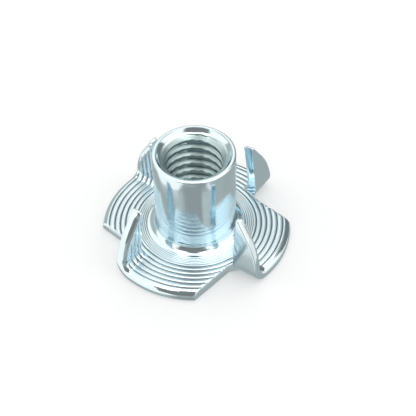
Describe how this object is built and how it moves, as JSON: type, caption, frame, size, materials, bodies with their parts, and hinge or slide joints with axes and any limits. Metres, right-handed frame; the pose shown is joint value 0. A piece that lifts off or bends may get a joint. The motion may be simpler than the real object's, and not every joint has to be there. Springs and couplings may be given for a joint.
{
  "type": "tee nut",
  "caption": "Tee nut with a drawn, internally threaded barrel and a ringed round flange whose lobes are bent up into prongs that bite into wood.",
  "frame": {"origin": "on the barrel's axis, at the underside of the flange", "axes": "+Z along the axis, from the flange towards the barrel's mouth"},
  "size_m": [0.0228, 0.0228, 0.0126],
  "materials": {
    "zinc_plate": "bright zinc plate"
  },
  "bodies": {
    "root": {"tee_nut": "zinc_plate"}
  },
  "joints": []
}
